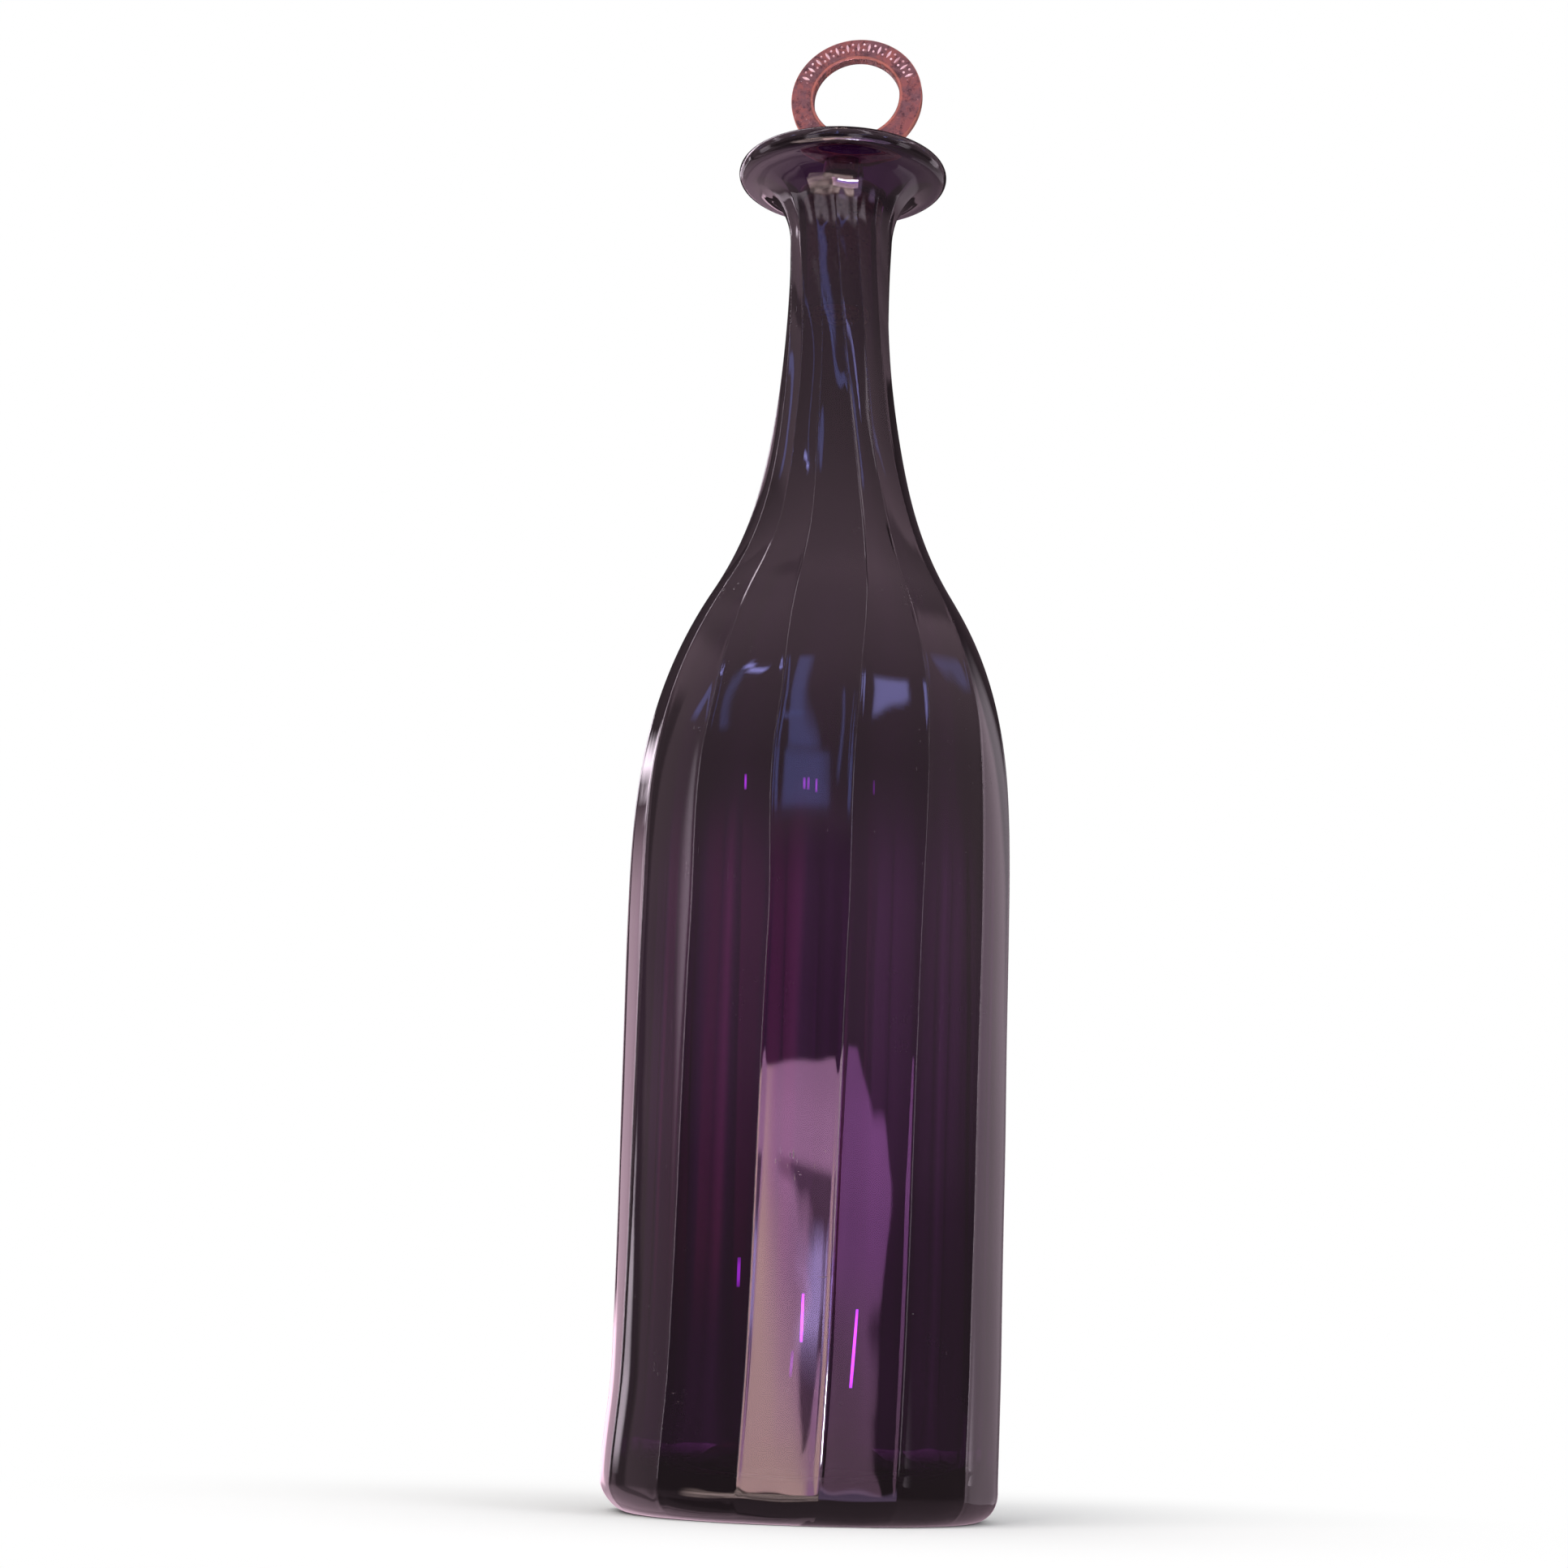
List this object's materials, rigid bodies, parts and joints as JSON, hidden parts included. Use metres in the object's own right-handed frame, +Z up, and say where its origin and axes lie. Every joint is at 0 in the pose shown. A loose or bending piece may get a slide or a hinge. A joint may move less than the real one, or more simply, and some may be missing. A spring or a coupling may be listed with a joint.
{
  "type": "glass bottle with ring stopper",
  "caption": "Tall fluted glass bottle with a slender twisted neck and wide flared lip, closed by a cork that a flat upright copper ring pulls out and turns.",
  "frame": {"origin": "centre of the foot, on the surface that the bottle stands on, where the bottle's axis meets it", "axes": "+Z up along the bottle's axis, front towards -Y (the face of the ring that the picture shows), +X to the right of that front"},
  "size_m": [0.0819, 0.0822, 0.3328],
  "materials": {
    "amethyst_glass": "fire-polished hand-blown glass, deep amethyst, fluted outside",
    "cork": "natural cork",
    "copper": "worn copper with a dull reddish patina",
    "brass": "plain unpolished brass"
  },
  "bodies": {
    "bottle": {"glass_bottle": "amethyst_glass"},
    "stopper": {"cork": "cork"},
    "ring_pull": {"cap": "copper", "rod": "brass", "washer": "brass", "socket": "copper", "ring_handle": "copper"}
  },
  "joints": [
    {"name": "stopper_pull", "type": "slide", "parent": "bottle", "child": "stopper", "axis": [0, 0, 1], "range_m": [0, 0.045]},
    {"name": "ring_turn", "type": "hinge", "parent": "stopper", "child": "ring_pull", "pos_m": [0, 0, 0.292], "axis": [0, 0, 1], "continuous": true}
  ]
}
